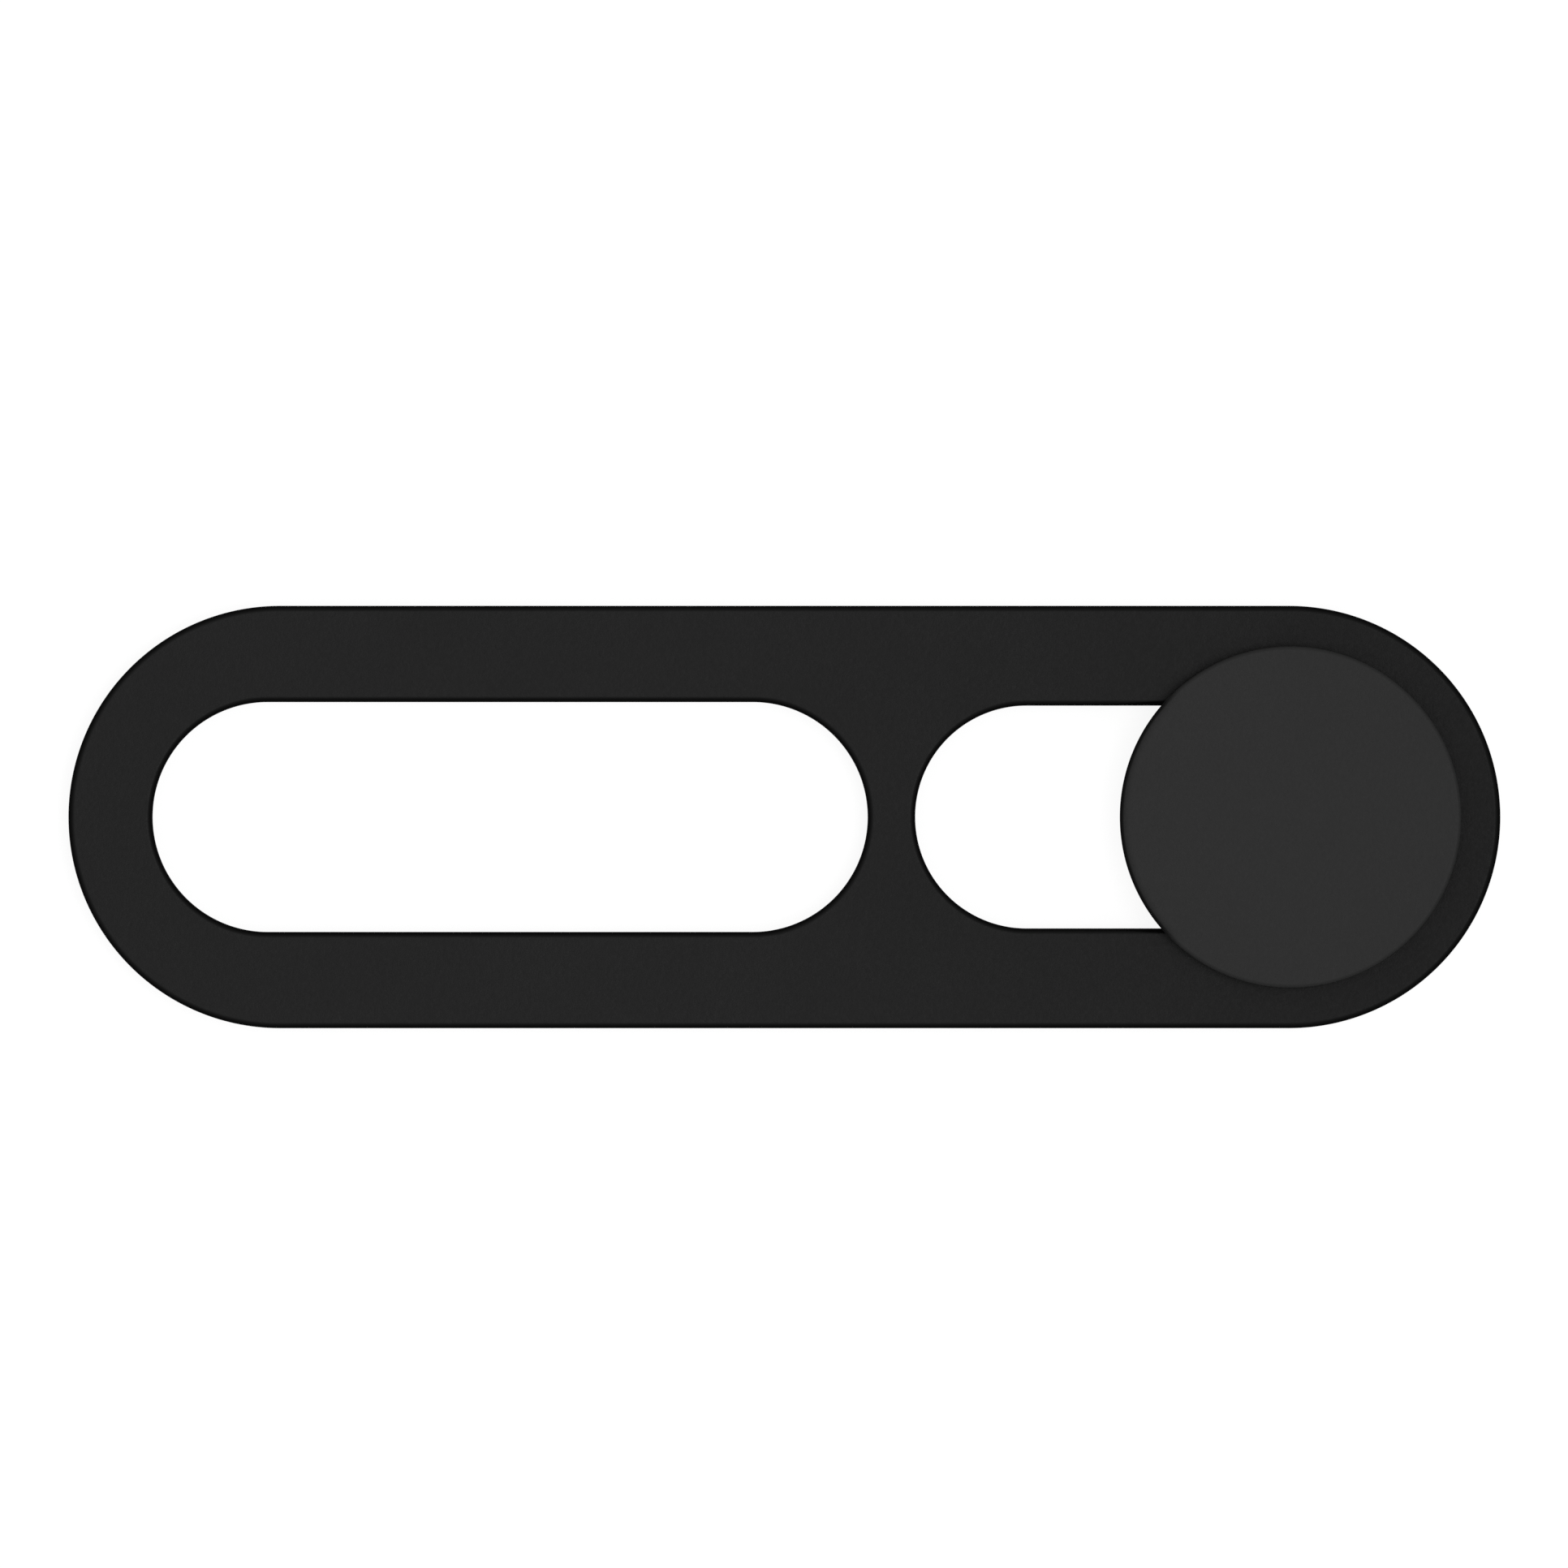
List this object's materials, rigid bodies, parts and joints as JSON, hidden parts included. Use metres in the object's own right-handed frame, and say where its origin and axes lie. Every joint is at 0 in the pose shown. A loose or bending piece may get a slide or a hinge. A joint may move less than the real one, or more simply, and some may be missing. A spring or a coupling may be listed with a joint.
{
  "type": "webcam cover slider",
  "caption": "Thin stick-on webcam cover: a black stadium-shaped plate with a long slot and a camera slot, and a round disc that slides along the camera slot to hide or clear the lens.",
  "frame": {"origin": "centre of the adhesive back face, which lies on the surface the cover is stuck to", "axes": "+X along the plate towards the end where the disc rests clear of the lens, +Y across the plate, +Z out of the front face"},
  "size_m": [0.036, 0.0106, 0.0015],
  "materials": {
    "plate_plastic": "fine matte black moulding",
    "disc_plastic": "fine matte charcoal moulding, a little lighter than the plate",
    "retainer_plastic": "smooth satin black moulding",
    "tape": "milky tissue tape with a tacky, slightly glossy adhesive face"
  },
  "bodies": {
    "plate": {"base_plate": "plate_plastic", "adhesive_tape": "tape"},
    "slider": {"slider_disc": "disc_plastic", "slide_retainer": "retainer_plastic"}
  },
  "joints": [
    {"name": "disc_slide", "type": "slide", "parent": "plate", "child": "slider", "axis": [1, 0, 0], "range_m": [-0.00625, 0]}
  ]
}
